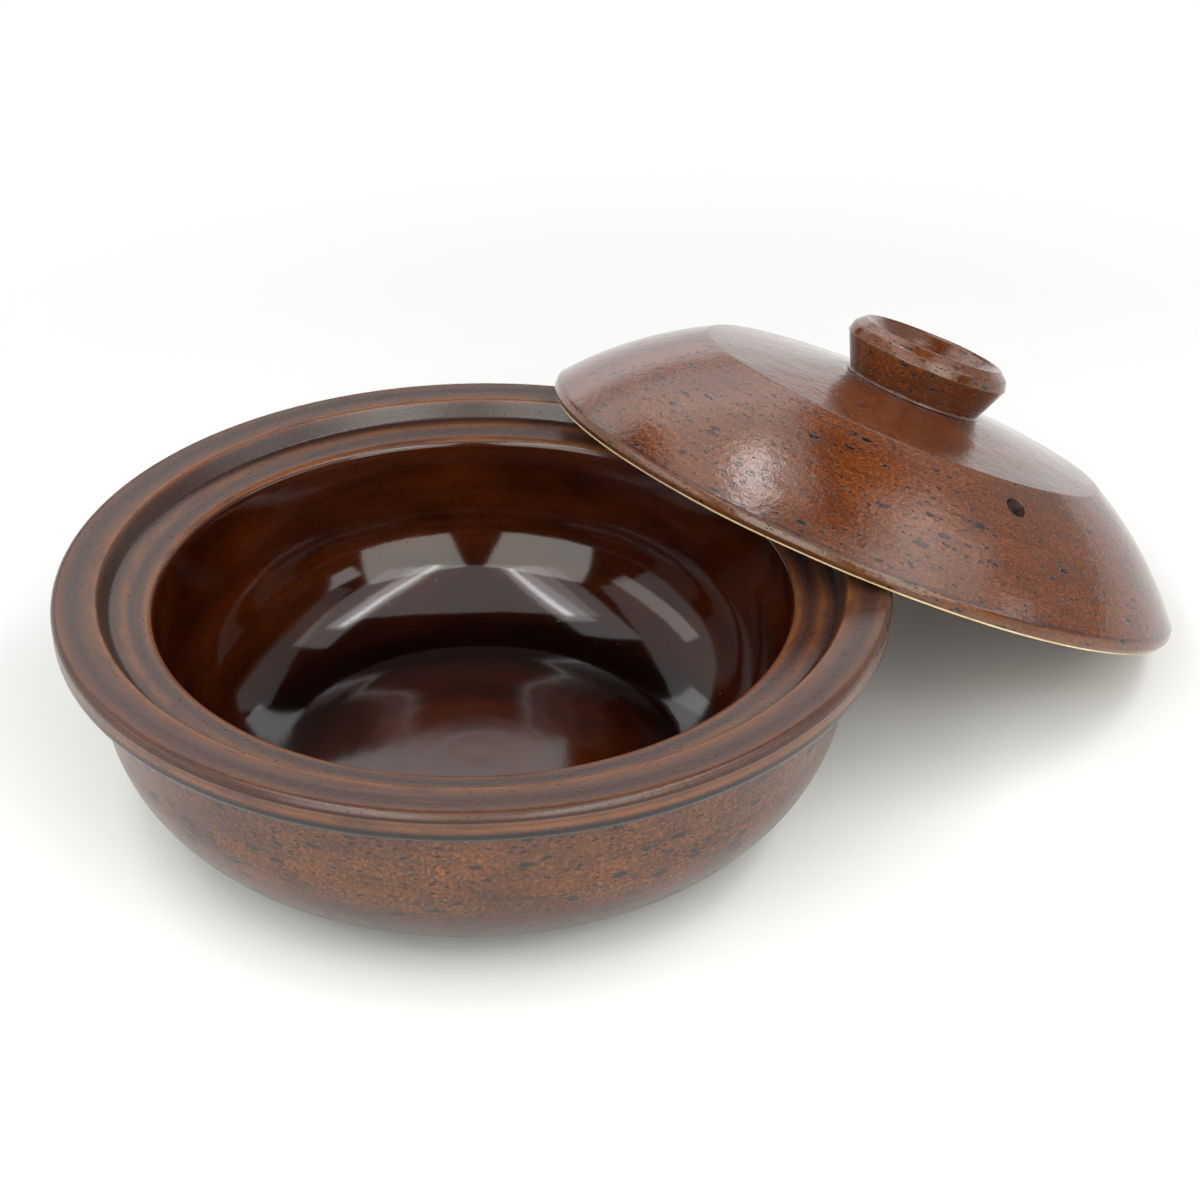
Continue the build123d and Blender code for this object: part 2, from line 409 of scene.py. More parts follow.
class Thrown:
    """A mesh turned from an outline, with a place, a finish and glaze thickness at each point."""

    def __init__(self, outline, turns, marks, wobbles=()):
        self.outline = outline
        angles = np.arange(turns) * 2 * math.pi / turns
        self.rows = len(outline.points)
        self.turns = turns
        self.along = np.repeat(outline.along[:, None], turns, axis=1)
        self.turned = np.repeat(angles[None, :], self.rows, axis=0)
        self.sunk = np.repeat(marks[:, None], turns, axis=1)
        for wobble in wobbles:
            self.sunk += wheel_wobble(outline.along, angles, **wobble)
        self.missing = np.zeros((self.rows - 1, turns), bool)
        self.extra_points = []
        self.extra_faces = []
        self.extra_along = []

    def at(self, along, turned, sunk=0.0):
        """Places on the turned surface, in millimetres."""
        outline = self.outline
        radius = np.interp(along, outline.along, outline.points[:, 0])
        height = np.interp(along, outline.along, outline.points[:, 1])
        normals = outline.normals()
        radius = radius + sunk * np.interp(along, outline.along, normals[:, 0])
        height = height + sunk * np.interp(along, outline.along, normals[:, 1])
        return np.stack([radius * np.cos(turned), radius * np.sin(turned), height], axis=-1)

    def open_hole(self, along, turned, radius):
        """Draws the grid round a place onto a circle and leaves the circle open. Gives its points."""
        inner = HOLE_EDGE
        outer = HOLE_REACH
        column = int(round(turned / (2 * math.pi / self.turns))) % self.turns
        row = int(np.argmin(abs(self.outline.along - along)))
        profile_radius = np.interp(along, self.outline.along, self.outline.points[:, 0])
        ring = {}
        for down in range(-outer, outer + 1):
            for side in range(-outer, outer + 1):
                reach = max(abs(down), abs(side))
                if reach < inner:
                    continue
                spot = (row + down, (column + side) % self.turns)
                offset = np.array(
                    [
                        math.remainder(self.turned[spot] - turned, 2 * math.pi) * profile_radius,
                        self.along[spot] - along,
                    ]
                )
                share = (reach - inner) / (outer - inner)
                angle = math.atan2(down, side)
                circle = radius * np.array([math.cos(angle), math.sin(angle)])
                moved = circle * (1 - share) + offset * share
                self.turned[spot] = turned + moved[0] / profile_radius
                self.along[spot] = along + moved[1]
                if reach == inner:
                    ring[down, side] = spot
        for down in range(-inner, inner):
            for side in range(-inner, inner):
                self.missing[row + down, (column + side) % self.turns] = True
        return ring

    def index(self, spot):
        """The number of the point in a row and a column."""
        return spot[0] * self.turns + spot[1]

    def join(self, outside, inside, centre_outside, centre_inside, radius, lip):
        """The wall of a hole between two open circles, rounded into both surfaces."""
        points = self.at(self.along, self.turned, self.sunk).reshape(-1, 3)
        around = sorted(outside, key=lambda spot: math.atan2(*spot))
        ring_out = [self.index(outside[spot]) for spot in around]
        ring_in = [self.index(inside[-down, side]) for down, side in around]
        axis = unit(centre_inside - centre_outside)
        rows = [ring_out]
        sides = ((ring_out, centre_outside, axis, LIP_ROWS), (ring_in, centre_inside, -axis, LIP_ROWS[::-1]))
        for ring, centre, inwards, shares in sides:
            for away, wide in shares:
                rows.append(self.hole_row(points, ring, centre, inwards, away * lip, radius + wide * lip))
        rows.append(ring_in)
        count = len(ring_out)
        for upper, lower in zip(rows, rows[1:]):
            for place in range(count):
                after = (place + 1) % count
                self.extra_faces.append((upper[place], upper[after], lower[after], lower[place]))

    def hole_row(self, points, ring, centre, axis, away, radius):
        """One ring of new points inside a hole, at a depth from a surface."""
        made = []
        first = self.rows * self.turns + len(self.extra_points)
        for place, vertex in enumerate(ring):
            offset = points[vertex] - centre
            sag = offset @ axis
            sideways = unit(offset - axis * sag) * radius
            self.extra_points.append(centre + axis * (sag + away) + sideways)
            self.extra_along.append(self.along.reshape(-1)[vertex])
            made.append(first + place)
        return made

    def build(self, name, place, finishes, breaking, bands=()):
        """The object, in metres and in its place. Its faces know their finish and its points their glaze."""
        points = self.at(self.along, self.turned, self.sunk).reshape(-1, 3)
        if self.extra_points:
            points = np.concatenate([points, np.array(self.extra_points)])
        faces, slots = self.faces(finishes)
        mesh = bpy.data.meshes.new(name)
        moved = [place @ Vector(point * MM) for point in points]
        mesh.from_pydata(moved, [], faces)
        mesh.polygons.foreach_set("material_index", slots)
        mesh.polygons.foreach_set("use_smooth", [True] * len(faces))
        self.write_attributes(mesh, points, bands, breaking)
        mesh.update()
        thing = bpy.data.objects.new(name, mesh)
        bpy.context.scene.collection.objects.link(thing)
        return thing

    def faces(self, finishes):
        """The faces, apart from those of the open hole, and the place of each one's finish in the list."""
        names = list(finishes)
        faces = []
        slots = []
        for row in range(self.rows - 1):
            slot = names.index(self.outline.finishes[row])
            here = row * self.turns
            above = here + self.turns
            for column in range(self.turns):
                if self.missing[row, column]:
                    continue
                after = (column + 1) % self.turns
                faces.append((here + column, here + after, above + after, above + column))
                slots.append(slot)
        faces.extend(self.extra_faces)
        slots.extend([0] * len(self.extra_faces))
        return faces, slots

    def write_attributes(self, mesh, points, bands, breaking):
        """thrown_mm is the place seen from above with the distance along the outline for a height.

        glaze_thin and the pooled mask say how thick the glaze lies; the pooled mask also carries painted
        shade from some bands. Above 1, glaze_thin says that the clay shows through. Each band adds its
        amount round a place on the outline, over its width in mm. The wall of a hole is flooded with glaze.
        """
        outline = self.outline
        along = np.concatenate([self.along.reshape(-1), np.array(self.extra_along, float)])
        thrown = np.stack([points[:, 0], points[:, 1], along], -1)
        bends = outline.spread_bends(BEND_WIDTH) * breaking
        for radius, height, width, amount in bands:
            middle = outline.nearest((radius, height))
            bends = bends + amount * np.exp(-(((outline.along - middle) / width) ** 2))
        layers = {
            "glaze_thin": np.interp(along, outline.along, np.clip(bends, 0, 2)),
            "glaze_pooled_and_shade": np.interp(along, outline.along, np.clip(-bends, 0, 1)),
        }
        layers["glaze_pooled_and_shade"][self.rows * self.turns :] = 1
        mesh.attributes.new("thrown_mm", "FLOAT_VECTOR", "POINT").data.foreach_set("vector", thrown.ravel())
        for name, values in layers.items():
            mesh.attributes.new(name, "FLOAT", "POINT").data.foreach_set("value", values)


# Finishes


class Finish:
    """A procedural material under construction. A pattern's scale is 1 over its size in millimetres."""

    def __init__(self, name):
        self.material = bpy.data.materials.new(name)
        self.material.use_nodes = True
        self.tree = self.material.node_tree
        self.tree.nodes.clear()

    def add(self, kind, inputs=None, output=0, **settings):
        """Adds a node with its settings, fills or links its inputs, and gives one of its outputs."""
        node = self.tree.nodes.new("ShaderNode" + kind)
        for key, setting in settings.items():
            setattr(node, key, setting)
        for key, value in (inputs or {}).items():
            if isinstance(value, bpy.types.NodeSocket):
                self.tree.links.new(value, node.inputs[key])
            else:
                node.inputs[key].default_value = value
        return node.outputs[output] if len(node.outputs) else self.material

    def drawn_out(self, stretch):
        """Places on the turned surface in millimetres, drawn out sideways by a factor."""
        place = self.add("Attribute", output="Vector", attribute_name="thrown_mm")
        return self.add("Mapping", {"Vector": place, "Scale": (1 / stretch, 1 / stretch, 1)})

    def specks(self, place, spacing_mm, size_mm, share):
        """Ragged spots of up to that size, one to a cell of that spacing, in a share of the cells."""
        cells = {"Vector": place, "Scale": 1 / spacing_mm}
        distance = self.add("TexVoronoi", cells, "Distance")
        chances = self.add("TexVoronoi", cells, "Color")
        chance = self.add("SeparateColor", {0: chances}, "Red")
        spread = self.add("SeparateColor", {0: chances}, "Green")
        ragged = self.add("TexNoise", {"Vector": place, "Scale": 4 / spacing_mm, "Detail": 2.0})
        reach = size_mm / spacing_mm / 2
        reach = self.add("Math", {0: spread, 1: reach, 2: 0.4 * reach}, operation="MULTIPLY_ADD")
        uneven = self.add("Math", {0: ragged, 1: 0.5, 2: -0.25}, operation="MULTIPLY_ADD")
        edge = self.add("Math", {0: distance, 1: uneven}, operation="ADD")
        inside = self.add("Math", {0: reach, 1: edge}, operation="SUBTRACT")
        spot = self.add("MapRange", {"Value": inside, "From Min": -0.02, "From Max": 0.04})
        present = self.add("Math", {0: chance, 1: 1 - share}, operation="GREATER_THAN")
        return self.add("Math", {0: spot, 1: present}, operation="MULTIPLY")

    def shade(self, **inputs):
        """Ends the material with a shader that has these inputs, and gives the material."""
        inputs = {name.replace("_", " "): value for name, value in inputs.items()}
        return self.add("OutputMaterial", {"Surface": self.add("BsdfPrincipled", inputs)})


def dipped_glaze(name, glaze, coats, streaks, gloss, speck_mm, share):
    """Stoneware with an iron glaze, dipped: a mottled coat with iron spots, pits and a broken shine."""
    body, warm, deep, broken = (getattr(glaze, key) for key in coats)
    finish = Finish(name)
    add = finish.add
    near = finish.drawn_out(1.3)
    drawn = finish.drawn_out(2.6)
    slow = add("TexNoise", {"Vector": near, "Scale": 1 / 30, "Detail": 3.0})
    middle = add("TexNoise", {"Vector": drawn, "Scale": 1 / 6, "Detail": 4.0, "Roughness": 0.6})
    fine = add("TexNoise", {"Vector": near, "Scale": 1 / 1.0, "Detail": 4.0, "Roughness": 0.7})
    lines = add("TexNoise", {"Vector": finish.drawn_out(16), "Scale": 1 / 2.2, "Detail": 3.0})
    depth = add("Math", {0: middle, 1: 0.3}, operation="MULTIPLY")
    depth = add("Math", {0: slow, 1: 0.25, 2: depth}, operation="MULTIPLY_ADD")
    depth = add("Math", {0: fine, 1: 0.4, 2: depth}, operation="MULTIPLY_ADD")
    thick = add("MapRange", {"Value": depth, "From Min": 0.54, "From Max": 0.4, "To Max": 0.6})
    grains = add("MapRange", {"Value": fine, "From Min": 0.5, "From Max": 0.62})
    light = add("MapRange", {"Value": slow, "From Min": 0.35, "From Max": 0.6, "To Min": 0.3})
    grains = add("Math", {0: grains, 1: light}, operation="MULTIPLY")
    lines = add("MapRange", {"Value": lines, "From Min": 0.52, "From Max": 0.7, "To Max": streaks})
    thin = add("Attribute", output="Fac", attribute_name="glaze_thin")
    patchy = add("MapRange", {"Value": middle, "From Min": 0.3, "From Max": 0.55, "To Min": 0.25})
    thin = add("Math", {0: thin, 1: patchy}, operation="MULTIPLY")
    # On the pot the pooled mask also carries painted shade on the lower body and the flange's lower edge,
    # drawn in the deep colour
    pooled = add("Attribute", output="Fac", attribute_name="glaze_pooled_and_shade")
    large = finish.specks(drawn, spacing_mm=2.2 * speck_mm, size_mm=speck_mm, share=share)
    small = finish.specks(finish.drawn_out(2.2), spacing_mm=1.5, size_mm=0.75, share=0.5)
    spots = add("Math", {0: large, 1: small}, operation="MAXIMUM")
    covered = add("Math", {0: spots, 1: 0.92}, operation="MULTIPLY")
    colour = body
    layers = ((thick, deep), (grains, warm), (lines, deep), (thin, broken), (pooled, deep))
    for amount, coat in (*layers, (covered, glaze.iron)):
        colour = add("Mix", {0: amount, 6: colour, 7: coat}, 2, data_type="RGBA")
    shine = add("Math", {0: fine, 1: 0.05, 2: gloss - 0.025}, operation="MULTIPLY_ADD")
    peel = add("TexNoise", {"Vector": near, "Scale": 1 / 3.2, "Detail": 3.0, "Roughness": 0.55})
    height = add("Math", {0: peel, 1: 0.4}, operation="MULTIPLY")
    height = add("Math", {0: fine, 1: 0.15, 2: height}, operation="MULTIPLY_ADD")
    height = add("Math", {0: spots, 1: -0.65, 2: height}, operation="MULTIPLY_ADD")
    bump = add("Bump", {"Height": height, "Distance": 0.4 * MM})
    return finish.shade(Base_Color=colour, Roughness=shine, IOR=1.55, Normal=bump)


def rubbed_glaze(name, glaze):
    """Stoneware with an iron glaze, rubbed at the rim: satin, and broken thin over the crests."""
    finish = Finish(name)
    add = finish.add
    near = finish.drawn_out(1.6)
    drawn = finish.drawn_out(4)
    middle = add("TexNoise", {"Vector": drawn, "Scale": 1 / 5, "Detail": 4.0, "Roughness": 0.6})
    fine = add("TexNoise", {"Vector": near, "Scale": 1 / 0.9, "Detail": 3.0, "Roughness": 0.65})
    lines = add("TexNoise", {"Vector": finish.drawn_out(30), "Scale": 1 / 1.6, "Detail": 3.0})
    warm = add("MapRange", {"Value": lines, "From Min": 0.5, "From Max": 0.72, "To Max": 0.15})
    thin = add("Attribute", output="Fac", attribute_name="glaze_thin")
    patchy = add("MapRange", {"Value": middle, "From Min": 0.35, "From Max": 0.55, "To Min": 0.3})
    worn = add("MapRange", {"Value": thin, "From Min": 1.1, "From Max": 1.6, "To Max": 0.8})
    thin = add("Math", {0: thin, 1: patchy}, operation="MULTIPLY")
    # The pooled mask also carries the painted shade on the flange's lower edge, drawn in rim_deep
    pooled = add("Attribute", output="Fac", attribute_name="glaze_pooled_and_shade")
    spots = finish.specks(near, spacing_mm=2.2, size_mm=0.6, share=0.3)
    covered = add("Math", {0: spots, 1: 0.7}, operation="MULTIPLY")
    colour = glaze.rim_body
    layers = ((warm, glaze.rim_break), (thin, glaze.rim_break), (worn, glaze.clay), (pooled, glaze.rim_deep))
    for amount, coat in (*layers, (covered, glaze.iron)):
        colour = add("Mix", {0: amount, 6: colour, 7: coat}, 2, data_type="RGBA")
    dull = {"Value": pooled, "From Min": 0.5, "From Max": 0.9, "To Min": 0.22, "To Max": 0.05}
    shine = add("Math", {0: fine, 1: 0.12, 2: add("MapRange", dull)}, operation="MULTIPLY_ADD")
    height = add("Math", {0: fine, 1: 0.22}, operation="MULTIPLY")
    height = add("Math", {0: middle, 1: 0.3, 2: height}, operation="MULTIPLY_ADD")
    height = add("Math", {0: spots, 1: -0.25, 2: height}, operation="MULTIPLY_ADD")
    bump = add("Bump", {"Height": height, "Distance": 0.35 * MM})
    return finish.shade(Base_Color=colour, Roughness=shine, IOR=1.5, Normal=bump)


def poured_glaze(name, glaze):
    """Stoneware with an amber iron glaze, poured in and fired glassy: deep, smooth and mirror bright."""
    finish = Finish(name)
    add = finish.add
    cloudy = add("TexNoise", {"Vector": finish.drawn_out(3), "Scale": 1 / 14, "Detail": 4.0})
    fine = add("TexNoise", {"Vector": finish.drawn_out(1.2), "Scale": 1 / 1.2, "Detail": 3.0})
    warm = add("MapRange", {"Value": cloudy, "From Min": 0.35, "From Max": 0.7})
    grains = add("MapRange", {"Value": fine, "From Min": 0.5, "From Max": 0.75, "To Max": 0.5})
    thin = add("Attribute", output="Fac", attribute_name="glaze_thin")
    thin = add("Math", {0: thin, 1: cloudy}, operation="MULTIPLY")
    pooled = add("Attribute", output="Fac", attribute_name="glaze_pooled_and_shade")
    colour = glaze.bowl_body
    layers = ((warm, glaze.bowl_warm), (grains, glaze.bowl_deep), (thin, glaze.bowl_thin))
    for amount, coat in (*layers, (pooled, glaze.bowl_deep)):
        colour = add("Mix", {0: amount, 6: colour, 7: coat}, 2, data_type="RGBA")
    bubbles = finish.specks(finish.drawn_out(1), spacing_mm=5.0, size_mm=0.7, share=0.1)
    height = add("Math", {0: bubbles, 1: 0.3, 2: cloudy}, operation="MULTIPLY_ADD")
    bump = add("Bump", {"Height": height, "Distance": 0.09 * MM})
    shine = add("MapRange", {"Value": thin, "From Max": 0.3, "To Min": 0.08, "To Max": 0.17})
    return finish.shade(Base_Color=colour, Roughness=shine, IOR=1.5, Normal=bump)


def bare_clay(name, glaze):
    """Stoneware, fired bare: matt buff clay with a sandy tooth."""
    finish = Finish(name)
    add = finish.add
    near = finish.drawn_out(1.5)
    tooth = add("TexNoise", {"Vector": near, "Scale": 1 / 0.7, "Detail": 3.0})
    stain = add("TexNoise", {"Vector": near, "Scale": 1 / 14, "Detail": 3.0})
    stain = add("MapRange", {"Value": stain, "From Min": 0.4, "From Max": 0.7, "To Max": 0.6})
    sand = finish.specks(near, spacing_mm=2.2, size_mm=0.6, share=0.3)
    colour = glaze.clay
    for amount in (stain, sand):
        colour = add("Mix", {0: amount, 6: colour, 7: glaze.sand}, 2, data_type="RGBA")
    bump = add("Bump", {"Height": tooth, "Distance": 0.2 * MM})
    return finish.shade(Base_Color=colour, Roughness=0.82, IOR=1.5, Normal=bump)


def white_paper(name):
    """Paper, matt white: it keeps the shadow near the pot and fades to a plain white ground."""
    finish = Finish(name)
    add = finish.add
    place = add("TexCoord", output="Object")
    away = add("VectorMath", {0: place, 1: FADE_MIDDLE}, "Value", operation="DISTANCE")
    fade = {"Value": away, "From Min": FADE_START, "From Max": FADE_END}
    far = add("MapRange", fade, interpolation_type="SMOOTHSTEP")
    seen = 0
    for ray in ("Is Camera Ray", "Is Glossy Ray", "Is Transmission Ray"):
        seen = add("Math", {0: seen, 1: add("LightPath", output=ray)}, use_clamp=True)
    amount = add("Math", {0: far, 1: seen}, operation="MULTIPLY")
    paper = add("BsdfDiffuse", {"Color": linear(PAPER)})
    ground = add("Emission", {"Color": linear(FAR_GROUND), "Strength": 1.0})
    return add("OutputMaterial", {"Surface": add("MixShader", {0: amount, 1: paper, 2: ground})})


def lean_matrix(lid):
    """Where the lid's own frame lies: tilted about Y and set on the rim and the table."""
    return Matrix.Translation((lid.reach, 0, lid.lift)) @ Matrix.Rotation(lid.lean, 4, "Y")


def in_millimetres(group):
    """The lengths of a property group in millimetres, by name."""
    properties = group.bl_rna.properties
    lengths = [key for key in group.__annotations__ if properties[key].unit == "LENGTH"]
    return SimpleNamespace(**{key: getattr(group, key) / MM for key in lengths})


def give_finishes(thing, finishes, body, node):
    """Gives a piece its materials and lamps, and makes it ride its body in place of its plain solid."""
    for material in finishes.values():
        thing.data.materials.append(material)
    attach(thing, body)
    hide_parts(node)
    bpy.data.collections[LID_LIGHT if body == "lid" else POT_LIGHT].objects.link(thing)


class DONABE_OT_throw_pot(bpy.types.Operator):
    """Throws the pot: foot ring, body, flange, lid seat and bowl from one clay"""

    bl_idname = "donabe.throw_pot"
    bl_label = "Throw pot"

    def execute(self, context):
        glaze = context.scene.donabe_glaze
        s = in_millimetres(context.scene.donabe_pot)
        seat_height = s.height - s.seat_depth
        corners = [
            (AXIS_GAP, s.foot_recess, 0, "bare"),
            (s.foot_radius - s.foot_width - s.foot_recess, s.foot_recess, s.foot_round, "bare"),
            (s.foot_radius - s.foot_width, 0, s.foot_round, "bare"),
            (s.foot_radius, 0, s.foot_round, "bare"),
            (s.foot_radius + s.foot_flare, s.foot_height, s.foot_round, "outside"),
            (s.belly_radius, s.belly_height, s.belly_round, "outside"),
            (s.neck_radius, s.height - s.flange_height - s.neck_drop, s.neck_round, "outside"),
            (s.rim_radius - s.flange_tuck, s.height - s.flange_height, s.flange_round, "rim"),
            (s.rim_radius, s.height, s.rim_round, "rim"),
            (s.lip_radius, s.height, s.lip_round, "rim"),
            (s.seat_radius, seat_height, s.seat_round, "rim"),
            (s.mouth_radius, seat_height - s.seat_fall, s.mouth_round, "bowl"),
            (s.floor_radius, s.floor_height + s.floor_rise, s.floor_round, "bowl"),
            (AXIS_GAP, s.floor_height, 0, "bowl"),
        ]
        outline = Outline(corners, POT_STEPS)
        # The bowl's marks are nearly drowned in glaze
        depths = np.where(np.array(outline.finishes) == "bowl", 0.04, 0.12)
        marks = throwing_marks(outline.along, pitch=7.0, depth=depths, seed=3.0)
        pot = Thrown(outline, POT_TURNS, marks)
        finishes = {
            "outside": dipped_glaze(
                "stoneware_iron_glaze_dipped", glaze, POT_COATS,
                streaks=0.5, gloss=0.24, speck_mm=1.7, share=0.6
            ),
            "rim": rubbed_glaze("stoneware_iron_glaze_rubbed", glaze),
            "bowl": poured_glaze("stoneware_amber_glaze_poured", glaze),
            "bare": bare_clay("stoneware_bare_turned", glaze),
        }
        # Radius, height, width and amount of each band where the glaze thins, or darkens below 0
        bands = [
            # Painted shade: the lower body darker towards the foot
            (s.belly_radius - 14.0, s.belly_height - 14.0, 26.0, -1.0),
            # Painted shade: a dark band on the flange's down-turned lower edge
            (s.rim_radius - 0.6, s.height - 9.2, 2.2, -1.5),
            (s.rim_radius, s.height - 6.0, 1.5, 0.9),
            (s.rim_radius, s.height - 3.4, 0.25, 1.2),
            (s.rim_radius, s.height - 2.6, 0.45, -1.3),
            (s.rim_radius - 1.2, s.height - 0.6, 1.6, -0.42),
            (s.rim_radius - 3.5, s.height, 2.0, 0.22),
            (s.rim_radius - 7.5, s.height, 1.5, -0.2),
            (s.lip_radius + 2.6, s.height, 2.4, 0.3),
            ((s.lip_radius + s.seat_radius) / 2, (s.height + seat_height) / 2, 2.2, -0.35),
            (s.seat_radius - 4.6, seat_height - 0.4, 1.9, 0.55),
            (s.seat_radius - 8.6, seat_height - 0.8, 1.2, -0.2),
            (s.mouth_radius + 2.0, seat_height - s.seat_fall, 1.8, 0.35),
            # A darker ring where the bowl's floor curves up into the wall
            (s.floor_radius - 30.0, s.floor_height + 2.0, 23.0, -0.9),
            (0, s.floor_height, 30.0, 0.6),
        ]
        thing = pot.build("pot_thrown", Matrix.Identity(4), finishes, breaking=1.3, bands=bands)
        give_finishes(thing, finishes, "pot", "pot")
        return {"FINISHED"}


class DONABE_OT_throw_lid(bpy.types.Operator):
    """Throws the domed lid, leaves its ring bare and pierces the steam hole"""

    bl_idname = "donabe.throw_lid"
    bl_label = "Throw lid"

    def execute(self, context):
        glaze = context.scene.donabe_glaze
        lid = context.scene.donabe_lid
        s = in_millimetres(lid)
        ring = s.radius - s.ring_bevel
        ring_inner = ring - s.ring_width
        edge = np.array([s.radius - s.edge_step, s.edge_height])
        shoulder = np.array([s.shoulder_radius, s.shoulder_height])
        pad = np.array([s.pad_radius, s.pad_height])
        chord = shoulder - edge
        outward = unit(np.array([chord[1], -chord[0]]))
        middle = edge + chord / 2 + outward * 2 * s.flank_bulge
        side = np.linalg.norm(middle - edge)
        slope = 2 * s.flank_bulge / (np.linalg.norm(chord) / 2)
        flank_round = FLANK_SHARE * side / slope
        inner_middle = corner_centre(edge, middle, shoulder, s.wall)
        inner_shoulder = corner_centre(middle, shoulder, pad, s.wall)
        below = edge - middle
        inner_edge = inner_middle + below * (ring_inner - inner_middle[0]) / below[0]
        corners = [
            (ring_inner, RING_START, 0, "bare"),
            (ring_inner, 0, s.ring_round, "bare"),
            (ring, 0, s.ring_round, "bare"),
            (ring + BARE_SHARE * s.ring_bevel, BARE_SHARE * s.bead_height, 0, "glazed"),
            (s.radius, s.bead_height, s.bead_round, "glazed"),
            (*edge, 0, "glazed"),
            (*middle, flank_round, "glazed"),
            (*shoulder, s.shoulder_round, "glazed"),
            (*pad, 0, "glazed"),
            (AXIS_GAP, s.pad_height, 0, "glazed"),
            (AXIS_GAP, s.pad_height - s.wall, 0, "glazed"),
            (s.pad_radius, s.pad_height - s.wall, 0, "glazed"),
            (*inner_shoulder, s.inside_round, "glazed"),
            (*inner_middle, flank_round - s.wall, "glazed"),
            (*inner_edge, s.ring_round, "glazed"),
            (ring_inner, RING_START, 0, "bare"),
        ]
        outline = Outline(corners, LID_STEPS)
        marks = throwing_marks(outline.along, pitch=9.0, depth=0.06, seed=11.0)
        wobbles = [
            {"reach": 60.0, "size": 26.0, "depth": 0.16, "seed": 5.0},
            {"reach": 60.0, "size": 10.0, "depth": 0.09, "seed": 15.0},
        ]
        thrown = Thrown(outline, LID_TURNS, marks, wobbles)
        centre = corner_centre(edge, middle, shoulder, flank_round)
        self.pierce(thrown, s, centre, flank_round, lid.hole_turn)
        finishes = {
            "glazed": dipped_glaze(
                "stoneware_red_iron_glaze_dipped", glaze, LID_COATS,
                streaks=0.35, gloss=0.05, speck_mm=1.45, share=0.25
            ),
            "bare": bare_clay("stoneware_bare_wiped", glaze),
        }
        # Radius, height, width and amount, as on the pot
        bands = [
            (s.radius - 0.3, s.edge_height - 1.2, 0.6, 0.4),
            (edge[0] - 0.6, edge[1] + 0.9, 0.5, -0.9),
            (edge[0] - 2.2, edge[1] + 2.8, 0.4, -0.5),
            (edge[0] - 3.6, edge[1] + 4.4, 0.6, 0.25),
        ]
        thing = thrown.build("lid_thrown", lean_matrix(lid), finishes, breaking=0.7, bands=bands)
        give_finishes(thing, finishes, "lid", "lid")
        return {"FINISHED"}

    def pierce(self, thrown, s, centre, flank_round, turn):
        """The steam hole, square to the flank, with a softened lip on both sides."""
        rise = math.sqrt(flank_round**2 - (s.hole_radius - centre[0]) ** 2)
        outside = np.array([s.hole_radius, centre[1] + rise])
        normal = (outside - centre) / flank_round
        inside = outside - normal * s.wall
        turn %= 2 * math.pi
        rings = []
        centres = []
        for spot in (outside, inside):
            along = thrown.outline.nearest(spot)
            rings.append(thrown.open_hole(along, turn, s.hole_diameter / 2 + s.hole_lip))
            centres.append(thrown.at(along, turn))
        thrown.join(rings[0], rings[1], centres[0], centres[1], s.hole_diameter / 2, s.hole_lip)


class DONABE_OT_lute_knob(bpy.types.Operator):
    """Turns the knob and lutes it onto the lid's pad"""

    bl_idname = "donabe.lute_knob"
    bl_label = "Lute knob"

    def execute(self, context):
        glaze = context.scene.donabe_glaze
        lid = context.scene.donabe_lid
        s = in_millimetres(context.scene.donabe_knob)
        pad = lid.pad_height / MM
        cup = s.height - s.cup_depth
        corners = [
            (AXIS_GAP, 0, 0),
            (s.base_radius + s.base_flare, 0, 0),
            (s.base_radius, s.base_height, s.base_flare),
            (s.edge_radius, s.edge_height, s.edge_round),
            (s.band_radius, s.band_height, s.band_round),
            (s.crest_radius, s.height, s.crest_round),
            (s.crest_radius - s.lip_width, s.height - s.lip_fall, s.lip_round),
            (s.cup_radius, cup + s.cup_rise, s.cup_round),
            (AXIS_GAP, cup, 0),
        ]
        corners = [(radius, height + pad, rounding, "glazed") for radius, height, rounding in corners]
        outline = Outline(corners, KNOB_STEPS)
        marks = throwing_marks(outline.along, pitch=4.5, depth=0.08, seed=23.0)
        wobbles = [{"reach": 20.0, "size": 9.0, "depth": 0.18, "seed": 7.0}]
        knob = Thrown(outline, KNOB_TURNS, marks, wobbles)
        finishes = {
            "glazed": dipped_glaze(
                "stoneware_iron_glaze_luted", glaze, LID_COATS,
                streaks=0.35, gloss=0.06, speck_mm=1.1, share=0.35
            )
        }
        off_axis = Matrix.Translation((s.off_along * MM, s.off_across * MM, 0))
        thing = knob.build("knob_thrown", lean_matrix(lid) @ off_axis, finishes, breaking=0.6)
        give_finishes(thing, finishes, "lid", "knob")
        return {"FINISHED"}


